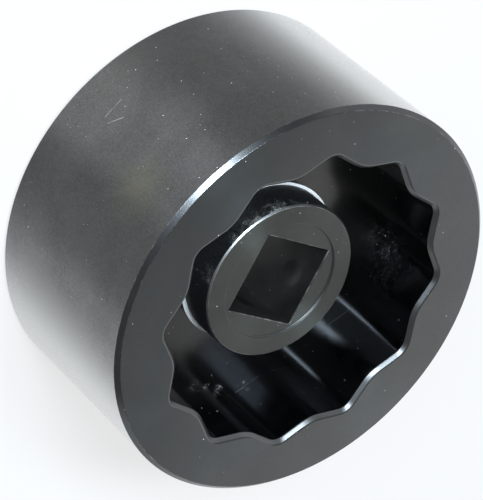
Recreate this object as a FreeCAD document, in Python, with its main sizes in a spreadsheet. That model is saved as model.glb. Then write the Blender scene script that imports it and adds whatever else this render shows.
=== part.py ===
import FreeCAD, Part
import math
import os
import Sketcher

# Twelve-point cap wrench for a screw-on oil filter housing, driven by a square ratchet.
#
# A thick round steel socket has a blind twelve-point opening in its mouth. A round hub
# with a square drive hole is pressed through the socket's floor from the back and stands
# up in the middle of the opening, below the mouth. A thin ring of braze closes the corner
# at the hub's foot.
#
# Frame: millimetres, +Z along the tool's axis and out of the mouth, origin in the middle
# of the flat back face. +X points through one of the twelve outer points.

OUT_DIR = "parts"

# Driving sizes: alias, value in millimetres or degrees, meaning.
SIZES = [
    ("body_diameter", 49.0, "outside diameter of the socket"),
    ("body_height", 24.5, "height of the socket from back face to mouth face"),
    ("mouth_bevel", 0.5, "45 degree bevel round the outer edge of the mouth"),
    ("back_bevel", 0.4, "45 degree bevel round the outer edge of the back"),
    ("across_flats", 32.3, "width across the flats of each of the two hexagons"),
    ("opening_depth", 10.0, "depth of the twelve-point opening below the mouth"),
    ("point_round", 1.8, "radius in the twelve outer points of the opening"),
    ("lobe_round", 5.0, "radius on the twelve inward lobes of the opening"),
    ("opening_bevel", 0.45, "45 degree bevel round the mouth of the opening"),
    ("hub_diameter", 19.5, "diameter of the hub and of its seat in the floor"),
    ("hub_drop", 5.1, "distance of the hub's face below the mouth face"),
    ("hub_bevel", 0.3, "45 degree bevel round the hub's face"),
    ("drive_square", 9.7, "width of the square drive hole"),
    ("drive_turn", 8.1, "turn of the square from the nearest outer point, degrees"),
    ("relief_margin", 1.0, "relief diameter over the diagonal of the square"),
    ("relief_depth", 0.5, "depth of the round relief in the hub's face"),
    ("entry_margin", 0.6, "diameter of the entry cone over the diagonal of the square"),
    ("detent_diameter", 3.4, "diameter of the ball recess in each wall of the square"),
    ("detent_depth", 0.6, "depth of each ball recess in its wall"),
    ("detent_drop", 3.1, "distance of the ball recesses below the relief's floor"),
    ("braze_leg", 0.45, "width and height of the braze ring at the hub's foot"),
    ("braze_throat", 0.15, "width and height of the braze at the middle of its hollow face"),
]

HEXAGON_SIDES = 6
SQUARE_SIDES = 4
FULL_TURN = 360.0
HALF_TURN_OF_HEXAGON = FULL_TURN / HEXAGON_SIDES / 2
TOLERANCE = 1e-4


# Sizes that carry their own expression
class Size:
    """A number together with the sheet expression that gives it."""

    def __init__(self, value, text):
        self.value = value
        self.text = text

    def combine(self, sign, other, value):
        text = other.text if isinstance(other, Size) else repr(float(other))
        return Size(value, f"({self.text} {sign} {text})")

    def __add__(self, other):
        return self.combine("+", other, self.value + number(other))

    def __sub__(self, other):
        return self.combine("-", other, self.value - number(other))

    def __mul__(self, other):
        return self.combine("*", other, self.value * number(other))

    def __truediv__(self, other):
        return self.combine("/", other, self.value / number(other))


def number(size):
    """The plain value of a Size or of a number."""
    return size.value if isinstance(size, Size) else float(size)


def make_sheet(doc):
    """Write the driving sizes into a sheet and return them by alias."""
    sheet = doc.addObject("Spreadsheet::Sheet", "Sizes")
    sizes = {}
    for row, (alias, value, meaning) in enumerate(SIZES, start=1):
        sheet.set(f"A{row}", meaning)
        sheet.set(f"B{row}", str(value))
        sheet.setAlias(f"B{row}", alias)
        sizes[alias] = Size(value, f"Sizes.{alias}")
    doc.recompute()
    return sizes


# Bodies, sketches and features
def make_body(doc, label):
    """A body whose label is the name of its node."""
    body = doc.addObject("PartDesign::Body", label)
    body.Label = label
    return body


def origin_part(body, role):
    """One of the body's own origin planes or axes, found by its role."""
    return next(item for item in body.Origin.OriginFeatures if item.Role == role)


def make_sketch(body, name, plane, height=None):
    """A sketch on one of the body's origin planes, lifted along its normal."""
    sketch = body.newObject("Sketcher::SketchObject", name)
    sketch.AttachmentSupport = [(origin_part(body, plane), "")]
    sketch.MapMode = "FlatFace"
    if height is not None:
        sketch.AttachmentOffset = FreeCAD.Placement(FreeCAD.Vector(0, 0, height.value), FreeCAD.Rotation())
        sketch.setExpression("AttachmentOffset.Base.z", height.text)
    return sketch


def name_and_bind(sketch, index, name, size):
    """Name a dimension of the sketch and bind it to the sheet."""
    sketch.renameConstraint(index, name)
    sketch.setExpression(f"Constraints.{name}", size.text)


def hold_point(sketch, edge, end, across, up, name):
    """Fix one end of an edge by its two distances from the sketch's origin."""
    for kind, size, axis in (("X", across, -2), ("Y", up, -1)):
        if abs(number(size)) < TOLERANCE:
            sketch.addConstraint(Sketcher.Constraint("PointOnObject", edge, end, axis))
        else:
            index = sketch.addConstraint(
                Sketcher.Constraint(f"Distance{kind}", -1, 1, edge, end, number(size))
            )
            name_and_bind(sketch, index, f"{name}_{kind.lower()}", size)


def draw_outline(sketch, corners, name="corner"):
    """Draw straight edges round the corners and hold every corner by the sheet."""
    points = [FreeCAD.Vector(number(across), number(up), 0) for across, up in corners]
    count = len(points)
    for index in range(count):
        sketch.addGeometry(Part.LineSegment(points[index], points[(index + 1) % count]), False)
    for index in range(count):
        sketch.addConstraint(Sketcher.Constraint("Coincident", index, 2, (index + 1) % count, 1))
    for index, (across, up) in enumerate(corners):
        hold_point(sketch, index, 1, across, up, f"{name}{index}")


def draw_polygon(sketch, sides, across_flats, first_corner):
    """Draw a regular polygon round the origin, given its width across the flats."""
    corner_share = 0.5 / math.cos(math.pi / sides)
    corners = []
    for index in range(sides):
        angle = math.radians(first_corner + FULL_TURN * index / sides)
        across = corner_share * math.cos(angle)
        up = corner_share * math.sin(angle)
        corners.append((across_flats * across, across_flats * up))
    draw_outline(sketch, corners)


def draw_circle(sketch, diameter, centre_height=0.0):
    """Draw a circle on the sketch's upright axis, sized by the sheet."""
    centre = FreeCAD.Vector(0, number(centre_height), 0)
    circle = sketch.addGeometry(Part.Circle(centre, FreeCAD.Vector(0, 0, 1), diameter.value / 2), False)
    hold_point(sketch, circle, 3, 0.0, centre_height, "centre")
    index = sketch.addConstraint(Sketcher.Constraint("Diameter", circle, diameter.value))
    name_and_bind(sketch, index, "diameter", diameter)


def turn_outline(body, kind, name, sketch):
    """Revolve a sketch once round the body's Z axis, adding or cutting."""
    feature = body.newObject(f"PartDesign::{kind}", name)
    feature.Profile = sketch
    feature.ReferenceAxis = (origin_part(body, "Z_Axis"), [""])
    feature.Angle = FULL_TURN
    return feature


def cut_pocket(body, name, sketch, depth=None):
    """Pocket a sketch to a depth from the sheet, or right through."""
    pocket = body.newObject("PartDesign::Pocket", name)
    pocket.Profile = sketch
    if depth is None:
        pocket.Type = "ThroughAll"
    else:
        pocket.Length = depth.value
        pocket.setExpression("Length", depth.text)
    return pocket


def repeat_round_axis(body, name, feature, copies, angle):
    """Repeat a cut round the body's Z axis over the given angle."""
    pattern = body.newObject("PartDesign::PolarPattern", name)
    pattern.Originals = [feature]
    pattern.Axis = (origin_part(body, "Z_Axis"), [""])
    pattern.Angle = angle
    pattern.Occurrences = copies
    body.Tip = pattern
    return pattern


def dress_edges(body, kind, name, base, wanted, size):
    """Round or bevel every edge of the base for which wanted(edge) is true."""
    names = [f"Edge{index}" for index, edge in enumerate(base.Shape.Edges, start=1) if wanted(edge)]
    if not names:
        raise ValueError(f"{name} found no edge on {base.Name}")
    feature = body.newObject(f"PartDesign::{kind}", name)
    feature.Base = (base, names)
    value_name = "Radius" if kind == "Fillet" else "Size"
    setattr(feature, value_name, size.value)
    feature.setExpression(value_name, size.text)
    body.Tip = feature
    print(f"{body.Label}: {name} on {len(names)} edges")
    return feature


def expect_cut(doc, body, before, name):
    """Stop if the body's last feature took nothing away."""
    doc.recompute()
    after = body.Shape.Volume
    if after >= before - TOLERANCE:
        raise ValueError(f"{name} cut nothing from {body.Label}")
    print(f"{body.Label}: {name} took {before - after:.2f} mm3")
    return after


# The socket: a turned ring with a floor and a twelve-point opening
def make_socket_body(doc, sizes):
    body = make_body(doc, "socket_body")
    outer = sizes["body_diameter"] / 2
    seat = sizes["hub_diameter"] / 2
    height = sizes["body_height"]
    mouth_bevel = sizes["mouth_bevel"]
    back_bevel = sizes["back_bevel"]

    section = make_sketch(body, "RingSection", "XZ_Plane")
    draw_outline(section, [
        (seat, 0.0),
        (outer - back_bevel, 0.0),
        (outer, back_bevel),
        (outer, height - mouth_bevel),
        (outer - mouth_bevel, height),
        (seat, height),
    ])
    turn_outline(body, "Revolution", "TurnedRing", section)
    doc.recompute()
    volume = body.Shape.Volume

    # Two hexagons, one turned by half a side, make the twelve points.
    hexagon = make_sketch(body, "OpeningHexagon", "XY_Plane", height)
    draw_polygon(hexagon, HEXAGON_SIDES, sizes["across_flats"], 0.0)
    pocket = cut_pocket(body, "HexagonPocket", hexagon, sizes["opening_depth"])
    volume = expect_cut(doc, body, volume, "the first hexagon")
    twelve_points = repeat_round_axis(body, "TwelvePoints", pocket, 2, HALF_TURN_OF_HEXAGON)
    volume = expect_cut(doc, body, volume, "the second hexagon")

    half_flats = sizes["across_flats"].value / 2
    point_radius = half_flats / math.cos(math.radians(HALF_TURN_OF_HEXAGON))
    lobe_radius = half_flats / math.cos(math.radians(HALF_TURN_OF_HEXAGON / 2))
    mouth = height.value

    def upright_at(radius):
        """A test for the upright edges of the opening at this distance from the axis."""
        def test(edge):
            ends = [vertex.Point for vertex in edge.Vertexes]
            if len(ends) != 2:
                return False
            upright = math.hypot(ends[0].x - ends[1].x, ends[0].y - ends[1].y) < TOLERANCE
            return upright and abs(math.hypot(ends[0].x, ends[0].y) - radius) < TOLERANCE
        return test

    def round_the_opening(edge):
        """True for the edges of the opening that lie in the mouth face."""
        box = edge.BoundBox
        in_mouth = box.ZMin > mouth - TOLERANCE
        reach = max(math.hypot(vertex.X, vertex.Y) for vertex in edge.Vertexes)
        return in_mouth and reach < point_radius + TOLERANCE

    points = dress_edges(
        body, "Fillet", "PointRounds", twelve_points, upright_at(point_radius), sizes["point_round"]
    )
    doc.recompute()
    lobes = dress_edges(
        body, "Fillet", "LobeRounds", points, upright_at(lobe_radius), sizes["lobe_round"]
    )
    doc.recompute()
    volume = body.Shape.Volume
    dress_edges(
        body, "Chamfer", "OpeningBevel", lobes, round_the_opening, sizes["opening_bevel"]
    )
    expect_cut(doc, body, volume, "the bevel of the opening")
    return body


# The hub: a turned plug with a square drive hole
def make_drive_hub(doc, sizes):
    body = make_body(doc, "drive_hub")
    radius = sizes["hub_diameter"] / 2
    face = sizes["body_height"] - sizes["hub_drop"]
    bevel = sizes["hub_bevel"]
    square = sizes["drive_square"]
    diagonal = square * math.sqrt(2)

    section = make_sketch(body, "HubSection", "XZ_Plane")
    draw_outline(section, [
        (0.0, 0.0),
        (radius, 0.0),
        (radius, face - bevel),
        (radius - bevel, face),
        (0.0, face),
    ])
    turn_outline(body, "Revolution", "TurnedPlug", section)
    doc.recompute()
    volume = body.Shape.Volume

    hole = make_sketch(body, "DriveSquare", "XY_Plane", face)
    draw_polygon(hole, SQUARE_SIDES, square, FULL_TURN / SQUARE_SIDES / 2)
    cut_pocket(body, "SquareHole", hole)
    volume = expect_cut(doc, body, volume, "the square hole")

    relief = make_sketch(body, "ReliefCircle", "XY_Plane", face)
    draw_circle(relief, diagonal + sizes["relief_margin"])
    cut_pocket(body, "FaceRelief", relief, sizes["relief_depth"])
    volume = expect_cut(doc, body, volume, "the relief in the face")

    # The ratchet enters from the back, through a 45 degree cone.
    entry_radius = (diagonal + sizes["entry_margin"]) / 2
    cone = make_sketch(body, "EntryCone", "XZ_Plane")
    draw_outline(cone, [(0.0, 0.0), (entry_radius, 0.0), (0.0, entry_radius)])
    turn_outline(body, "Groove", "DriveEntry", cone)
    volume = expect_cut(doc, body, volume, "the entry cone")

    # A round recess in each wall holds the ratchet's spring ball.
    detent_height = face - sizes["relief_depth"] - sizes["detent_drop"]
    recess = make_sketch(body, "BallRecess", "XZ_Plane")
    draw_circle(recess, sizes["detent_diameter"], detent_height)
    pocket = cut_pocket(body, "BallPocket", recess, square / 2 + sizes["detent_depth"])
    volume = expect_cut(doc, body, volume, "the first ball recess")
    repeat_round_axis(body, "BallRecesses", pocket, SQUARE_SIDES, FULL_TURN)
    expect_cut(doc, body, volume, "the other ball recesses")

    turn = sizes["drive_turn"]
    body.Placement = FreeCAD.Placement(
        FreeCAD.Vector(0, 0, 0), FreeCAD.Rotation(FreeCAD.Vector(0, 0, 1), turn.value)
    )
    body.setExpression("Placement.Rotation.Angle", turn.text)
    return body


# The braze: a thin ring with a hollow face in the corner at the hub's foot
def make_braze_ring(doc, sizes):
    body = make_body(doc, "braze_ring")
    inner = sizes["hub_diameter"] / 2
    floor = sizes["body_height"] - sizes["opening_depth"]
    leg = sizes["braze_leg"]
    throat = sizes["braze_throat"]

    section = make_sketch(body, "BrazeSection", "XZ_Plane")
    draw_outline(section, [
        (inner, floor),
        (inner + leg, floor),
        (inner + throat, floor + throat),
        (inner, floor + leg),
    ])
    turn_outline(body, "Revolution", "BrazeRing", section)
    return body


def check_document(doc, bodies):
    """Stop if any object failed or any piece is not one valid solid."""
    for item in doc.Objects:
        if "Invalid" in item.State or "Error" in item.State:
            raise ValueError(f"{item.Name} failed: {item.State}")
    for body in bodies:
        shape = body.Shape
        if shape.isNull() or not shape.isValid() or len(shape.Solids) != 1:
            raise ValueError(f"{body.Label} is not one valid solid")


def main():
    doc = FreeCAD.newDocument("CapWrench")
    sizes = make_sheet(doc)
    bodies = [
        make_socket_body(doc, sizes),
        make_drive_hub(doc, sizes),
        make_braze_ring(doc, sizes),
    ]
    doc.recompute()
    check_document(doc, bodies)
    os.makedirs(OUT_DIR, exist_ok=True)
    for body in bodies:
        body.Shape.exportStep(os.path.join(OUT_DIR, body.Label + ".step"))
        box = body.Shape.BoundBox
        print(
            f"{body.Label}: {body.Shape.Volume:.1f} mm3, {len(body.Shape.Faces)} faces, "
            f"z {box.ZMin:.2f} to {box.ZMax:.2f}, across {box.XLength:.2f} x {box.YLength:.2f}"
        )


main()
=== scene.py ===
# %% [markdown]
# # A twelve-point cap wrench for an oil filter housing
# The tool is a thick ring of blackened steel with a floor. A twelve-point opening in its
# mouth fits over the plastic cap of a filter housing, and a round hub with a square hole
# stands up in the middle for the ratchet. The CAD model gives three solids: the socket, the
# hub, and a thin ring of braze in the corner at the hub's foot. This lesson builds a finer
# mesh for each of them, with small rounded edges that catch the light, and then the finishes.

# %% Load the CAD frame
import math
from typing import NamedTuple

import bpy
import numpy as np
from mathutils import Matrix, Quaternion, Vector


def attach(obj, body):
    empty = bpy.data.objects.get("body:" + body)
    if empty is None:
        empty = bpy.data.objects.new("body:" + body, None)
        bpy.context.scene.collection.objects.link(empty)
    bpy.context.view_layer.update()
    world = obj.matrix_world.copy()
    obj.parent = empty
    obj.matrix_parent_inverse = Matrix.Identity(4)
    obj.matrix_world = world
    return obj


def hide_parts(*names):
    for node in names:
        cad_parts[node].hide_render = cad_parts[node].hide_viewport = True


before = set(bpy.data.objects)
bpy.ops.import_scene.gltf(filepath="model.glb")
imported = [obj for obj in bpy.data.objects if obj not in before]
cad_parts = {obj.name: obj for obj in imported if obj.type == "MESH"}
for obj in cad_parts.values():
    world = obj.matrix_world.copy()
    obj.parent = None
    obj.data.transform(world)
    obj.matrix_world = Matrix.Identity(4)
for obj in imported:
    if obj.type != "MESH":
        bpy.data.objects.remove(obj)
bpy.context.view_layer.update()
print("CAD nodes:", sorted(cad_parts))

# %% [markdown]
# ## Sizes
# Every size is written in millimetres, as on a workshop drawing, and turned into metres when
# a mesh is made. The heights are measured from the back face, which the tool stands on. Three
# sizes are finer here than in the CAD solids: the hub's bevel is 0.3 there, the relief in its
# face is 0.5 deep and the ball recesses are 0.6 deep. In the photograph the first two show as
# lines only one to two pixels wide, and the recesses hardly show.

# %% Sizes of the socket, the hub and the braze
MM = 0.001
BODY_RADIUS = 24.5
BODY_HEIGHT = 24.5
MOUTH_BEVEL = 0.5
BACK_BEVEL = 0.4
ACROSS_FLATS = 32.3
FLOOR_HEIGHT = 14.5
POINT_ROUND = 1.8
LOBE_ROUND = 5.0
OPENING_BEVEL = 0.45
HUB_RADIUS = 9.75
HUB_FACE = 19.4
HUB_BEVEL = 0.18
DRIVE_SQUARE = 9.7
DRIVE_TURN = 8.1
RELIEF_RADIUS = 7.36
RELIEF_DEPTH = 0.22
ENTRY_RADIUS = 7.16
RECESS_RADIUS = 1.7
RECESS_DEPTH = 0.18
RECESS_HEIGHT = 15.8
BRAZE_LEG = 0.45
BRAZE_THROAT = 0.15
print("opening depth:", BODY_HEIGHT - FLOOR_HEIGHT, "mm, wall at a flat:",
      BODY_RADIUS - ACROSS_FLATS / 2, "mm")

# %% [markdown]
# ## The camera
# The photograph looks down into the mouth from about 43 degrees above the back face's plane,
# with the tool rolled so that its mouth faces right and down. The tool here stands on its
# back, so the camera is rolled instead. Turning the tool would give the same picture, but it
# would leave the frame that it shares with the CAD model. A long lens 0.3 m away gives the
# mild perspective. The lamps are aimed in the same way, so one helper serves them all.

# %% Helpers that aim a camera or a lamp
def direction_at(bearing, rise):
    """The direction from the tool towards this bearing and rise, both in degrees."""
    bearing, rise = math.radians(bearing), math.radians(rise)
    return Vector((
        math.cos(rise) * math.cos(bearing), math.cos(rise) * math.sin(bearing), math.sin(rise)
    ))


def look_at(thing, target, toward, distance, roll=0.0):
    """Put a camera or a lamp at a distance in a direction, so that it looks at the target."""
    thing.location = target + toward * distance
    thing.rotation_mode = "QUATERNION"
    level = (-toward).to_track_quat("-Z", "Y")
    thing.rotation_quaternion = level @ Quaternion((0, 0, 1), math.radians(roll))
    print(thing.name, "at", [round(v, 3) for v in thing.location])


print("helpers that aim are ready")

# %% Place the camera
AIM = Vector((-0.00625, 0.00100, 0.01765))
CAMERA_DISTANCE = 0.29839
CAMERA_BEARING = 168.51
CAMERA_RISE = 42.708
CAMERA_ROLL = 131.634
LENS = 194.4
SENSOR_WIDTH = 36.0

camera = bpy.data.objects.new("camera", bpy.data.cameras.new("camera"))
bpy.context.scene.collection.objects.link(camera)
look_at(camera, AIM, direction_at(CAMERA_BEARING, CAMERA_RISE), CAMERA_DISTANCE, CAMERA_ROLL)
camera.data.lens = LENS
camera.data.sensor_width = SENSOR_WIDTH
camera.data.clip_start = 0.01
camera.data.clip_end = 20.0
bpy.context.scene.camera = camera
bpy.context.scene.view_settings.view_transform = "Standard"
print("lens:", LENS, "mm")

# %% [markdown]
# ## Helpers for nodes
# A finish is a tree of nodes. Written out one by one, the nodes and links of a single finish
# fill pages, so these helpers make one node each and link what they are given. A value may be
# a plain number, which is set on the socket, or another node's output, which is linked.

# %% Helpers that calculate
def feed(tree, socket_in, value):
    """Link a socket, or set a plain number, vector or colour."""
    if isinstance(value, bpy.types.NodeSocket):
        tree.links.new(value, socket_in)
    elif value is not None:
        socket_in.default_value = value


def calc(tree, operation, a, b=None, c=None, clamp=False):
    """A Math node; returns its result."""
    node = tree.nodes.new("ShaderNodeMath")
    node.operation = operation
    node.use_clamp = clamp
    for socket_in, value in zip(node.inputs, (a, b, c)):
        feed(tree, socket_in, value)
    return node.outputs[0]


def vector_calc(tree, operation, a, b=None, scale=None):
    """A Vector Math node; returns its outputs, by name."""
    node = tree.nodes.new("ShaderNodeVectorMath")
    node.operation = operation
    feed(tree, node.inputs[0], a)
    feed(tree, node.inputs[1], b)
    if scale is not None:
        feed(tree, node.inputs["Scale"], scale)
    return node.outputs


def fade_between(tree, value, low, high, start=0.0, end=1.0):
    """A soft step from start to end while the value goes from low to high."""
    node = tree.nodes.new("ShaderNodeMapRange")
    node.interpolation_type = "SMOOTHSTEP"
    for label, number in (
        ("Value", value), ("From Min", low), ("From Max", high), ("To Min", start), ("To Max", end)
    ):
        feed(tree, node.inputs[label], number)
    return node.outputs["Result"]


print("helpers that calculate are ready")


# %% Helpers for colours and textures
def blend_colour(tree, share, a, b):
    """Mix two colours."""
    node = tree.nodes.new("ShaderNodeMix")
    node.data_type = "RGBA"
    feed(tree, node.inputs["Factor"], share)
    feed(tree, node.inputs[6], a)
    feed(tree, node.inputs[7], b)
    return node.outputs[2]


def noise(tree, position, size, detail=2.0, rough=0.5, distortion=0.0):
    """Noise whose lumps are about this size in metres; returns values near 0.5."""
    node = tree.nodes.new("ShaderNodeTexNoise")
    feed(tree, node.inputs["Vector"], position)
    feed(tree, node.inputs["Scale"], calc(tree, "DIVIDE", 1.0, size))
    node.inputs["Detail"].default_value = detail
    node.inputs["Roughness"].default_value = rough
    node.inputs["Distortion"].default_value = distortion
    return node.outputs["Fac"]


def cells(tree, position, size):
    """Random cells of this size; returns the distance to the centre and three random numbers."""
    node = tree.nodes.new("ShaderNodeTexVoronoi")
    feed(tree, node.inputs["Vector"], position)
    feed(tree, node.inputs["Scale"], calc(tree, "DIVIDE", 1.0, size))
    chance = tree.nodes.new("ShaderNodeSeparateColor")
    tree.links.new(node.outputs["Color"], chance.inputs[0])
    return node.outputs["Distance"], chance.outputs


print("helpers for colours and textures are ready")


# %% Helpers for whole materials and groups
def new_material(name):
    """A material with an empty tree."""
    material = bpy.data.materials.new(name)
    material.use_nodes = True
    material.node_tree.nodes.clear()
    return material, material.node_tree


def show(tree, shader, output="ShaderNodeOutputMaterial"):
    """Send a shader to the output of its tree."""
    out = tree.nodes.new(output)
    tree.links.new(shader.outputs[0], out.inputs["Surface"])


def new_group(name, inputs, outputs):
    """An empty node group with named sockets; returns it, what it is given and its result."""
    group = bpy.data.node_groups.new(name, "ShaderNodeTree")
    for label, kind, value in inputs:
        socket_in = group.interface.new_socket(label, in_out="INPUT", socket_type=kind)
        if value is not None:
            socket_in.default_value = value
    for label, kind in outputs:
        group.interface.new_socket(label, in_out="OUTPUT", socket_type=kind)
    given = group.nodes.new("NodeGroupInput")
    result = group.nodes.new("NodeGroupOutput")
    print("made the group", name)
    return group, given.outputs, result.inputs


def place_group(tree, group, **values):
    """Place a group in a material with its own values; returns its outputs, by name."""
    node = tree.nodes.new("ShaderNodeGroup")
    node.node_tree = group
    for label, value in values.items():
        feed(tree, node.inputs[label.replace("_", " ")], value)
    return node.outputs


print("helpers for materials and groups are ready")

# %% [markdown]
# ## The floor
# The tool lies on white paper that keeps a faint shadow. A matt floor alone comes out grey,
# and more light on it would bleach the tool too. So what the camera and the reflections see
# of the paper is mixed with plain white, while the light that it spreads stays that of matt
# paper.

# %% A white floor that keeps a faint shadow
FLOOR_SIZE = 3.0
FLOOR_DROP = 0.00002
FLOOR_WHITE = 0.72
FLOOR_GLOW = 0.68

half = FLOOR_SIZE / 2
floor_mesh = bpy.data.meshes.new("floor")
floor_mesh.from_pydata(
    [(-half, -half, 0), (half, -half, 0), (half, half, 0), (-half, half, 0)], [], [(0, 1, 2, 3)]
)
floor = bpy.data.objects.new("floor", floor_mesh)
floor.location.z = -FLOOR_DROP
bpy.context.scene.collection.objects.link(floor)

paper, tree = new_material("white_paper")
matt = tree.nodes.new("ShaderNodeBsdfDiffuse")
matt.inputs["Color"].default_value = (FLOOR_WHITE, FLOOR_WHITE, FLOOR_WHITE, 1)
glow = tree.nodes.new("ShaderNodeEmission")
glow.inputs["Strength"].default_value = 1.0
rays = tree.nodes.new("ShaderNodeLightPath").outputs
seen = calc(tree, "MAXIMUM", rays["Is Camera Ray"], rays["Is Glossy Ray"])
seen = calc(tree, "MAXIMUM", seen, rays["Is Transmission Ray"])
mixed = tree.nodes.new("ShaderNodeMixShader")
feed(tree, mixed.inputs["Fac"], calc(tree, "MULTIPLY", seen, FLOOR_GLOW))
tree.links.new(matt.outputs[0], mixed.inputs[1])
tree.links.new(glow.outputs[0], mixed.inputs[2])
show(tree, mixed)
floor_mesh.materials.append(paper)
print("floor:", FLOOR_SIZE, "m square")

# %% [markdown]
# ## The surroundings and the lamps
# Black metal shows little but reflections, so the surroundings matter as much as the lamps.
# The world is bright low down and all round the far side, and dimmer over the camera, where
# the room is. Three soft round lamps stand on the camera's side. They are slightly blue, as
# the highlights in the photograph are, and small enough to draw clear highlights in the
# opening. The lowest of them throws the longest part of the shadow. One large lamp would be
# simpler, but it would light every flat of the opening alike.

# %% Bright surroundings with a dimmer room above
SURROUND_WHITE = 1.12
ROOM_GREY = 0.32
ROOM_BEARING = 200.0
ROOM_RISE = 65.0
ROOM_EDGE = (0.275, 0.385)

world = bpy.data.worlds.new("studio")
bpy.context.scene.world = world
world.use_nodes = True
tree = world.node_tree
tree.nodes.clear()
outward = tree.nodes.new("ShaderNodeTexCoord").outputs["Generated"]
room = direction_at(ROOM_BEARING, ROOM_RISE)
facing = vector_calc(tree, "DOT_PRODUCT", outward, room)["Value"]
sky = tree.nodes.new("ShaderNodeBackground")
strength = fade_between(tree, facing, *ROOM_EDGE, SURROUND_WHITE, ROOM_GREY)
feed(tree, sky.inputs["Strength"], strength)
show(tree, sky, "ShaderNodeOutputWorld")
print("surroundings", SURROUND_WHITE, "room", ROOM_GREY)

# %% Three soft lamps on the camera's side
LAMP_TARGET = Vector((0, 0, 0.02))
LAMP_DISTANCE = 0.6
LAMP_COLOUR = (0.80, 0.91, 1.0)


def place_lamp(name, bearing, rise, size, power):
    """A round soft lamp that looks at the tool from a bearing and a rise in degrees."""
    lamp = bpy.data.objects.new(name, bpy.data.lights.new(name, "AREA"))
    bpy.context.scene.collection.objects.link(lamp)
    lamp.data.shape = "DISK"
    lamp.data.size = size
    lamp.data.energy = power
    lamp.data.color = LAMP_COLOUR
    look_at(lamp, LAMP_TARGET, direction_at(bearing, rise), LAMP_DISTANCE)


place_lamp("low_lamp", bearing=151.2, rise=47.0, size=0.16, power=3.0)
place_lamp("high_lamp", bearing=127.0, rise=60.0, size=0.14, power=1.7)
place_lamp("shadow_lamp", bearing=166.0, rise=31.0, size=0.20, power=1.4)

# %% [markdown]
# ## Rounded corners
# A section is a short list of corners, as on a drawing, and the small rounds are added by
# this helper. A bevel modifier could do that on the finished mesh, but here every arc keeps
# the same number of points, so the faces stay even and four-sided. Each point also carries a
# number, `edge`, that is 1 on a rounded edge and 0 on a flat: the finishes use it to brighten
# rubbed edges.

# %% Corners with a small round
ARC_STEPS = 4
NEAR_HOLD = 0.05
FAR_HOLD = 0.35
EDGE_AT_NEAR_HOLD = 0.5
HOLD_ROOM = 0.45


class Corner(NamedTuple):
    """A corner of a section: how far out it is, its height, radius and finish.

    The finish belongs to the run that leaves the corner. The rub is the edge's share of wear.
    """

    across: float
    height: float
    radius: float
    finish: str
    rub: float = 1.0


def rounded(before, here, after):
    """Points (across, height, edge, finish) of the arc that takes this corner's place.

    Beside the arc, two holding points on each run keep the shading of the flats flat. A
    hollow corner has an edge of 0, because nothing rubs there.
    """
    spot = np.array(here[:2])
    back, ahead = np.array(before[:2]) - spot, np.array(after[:2]) - spot
    rub = here.rub if back[1] * ahead[0] > back[0] * ahead[1] else 0.0
    room_back, room_ahead = np.linalg.norm(back), np.linalg.norm(ahead)
    back, ahead = back / room_back, ahead / room_ahead
    half_turn = math.acos(np.clip(back @ ahead, -1, 1)) / 2
    reach = here.radius / math.tan(half_turn)
    inward = (back + ahead) / np.linalg.norm(back + ahead)
    centre = spot + inward * here.radius / math.sin(half_turn)
    start, end = spot + back * reach - centre, spot + ahead * reach - centre
    points = []
    for hold, edge in ((FAR_HOLD, 0.0), (NEAR_HOLD, EDGE_AT_NEAR_HOLD)):
        if reach + hold < room_back * HOLD_ROOM:
            points.append((*(spot + back * (reach + hold)), edge * rub, before.finish))
    for step in range(ARC_STEPS + 1):
        share = step / ARC_STEPS
        between = start * (1 - share) + end * share
        between *= here.radius / np.linalg.norm(between)
        finish = before.finish if share < 0.5 else here.finish
        points.append((*(centre + between), rub, finish))
    for hold, edge in ((NEAR_HOLD, EDGE_AT_NEAR_HOLD), (FAR_HOLD, 0.0)):
        if reach + hold < room_ahead * HOLD_ROOM:
            points.append((*(spot + ahead * (reach + hold)), edge * rub, here.finish))
    return points


def round_corners(corners):
    """Turn a section's corners into points, with a round at each but the first and the last."""
    corners = [Corner(*corner) for corner in corners]
    first, last = corners[0], corners[-1]
    points = [(first.across, first.height, 0.0, first.finish)]
    for before, here, after in zip(corners, corners[1:], corners[2:]):
        points += rounded(before, here, after)
    points.append((last.across, last.height, 0.0, last.finish))
    return points


print("each round has", ARC_STEPS, "steps")

# %% [markdown]
# ## Building by loops
# All three pieces go once round an axis, but the opening has twelve points and the drive hole
# is square, so a plain spin would not do. Cutting with booleans would, but it leaves ragged
# faces that shade badly. Each piece is a stack of closed loops instead. A loop has one point
# at every angle, and its distance from the axis may change from angle to angle. Neighbouring
# loops are joined with four-sided faces, and the last loop joins the first, so the mesh is
# always closed.


# %% A stack of loops that becomes a mesh
def ring(angles, radius, height):
    """Points round the axis. The radius and the height are numbers, or one number per angle."""
    radius = np.broadcast_to(radius, angles.shape)
    height = np.broadcast_to(height, angles.shape)
    return np.column_stack((radius * np.cos(angles), radius * np.sin(angles), height))


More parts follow.
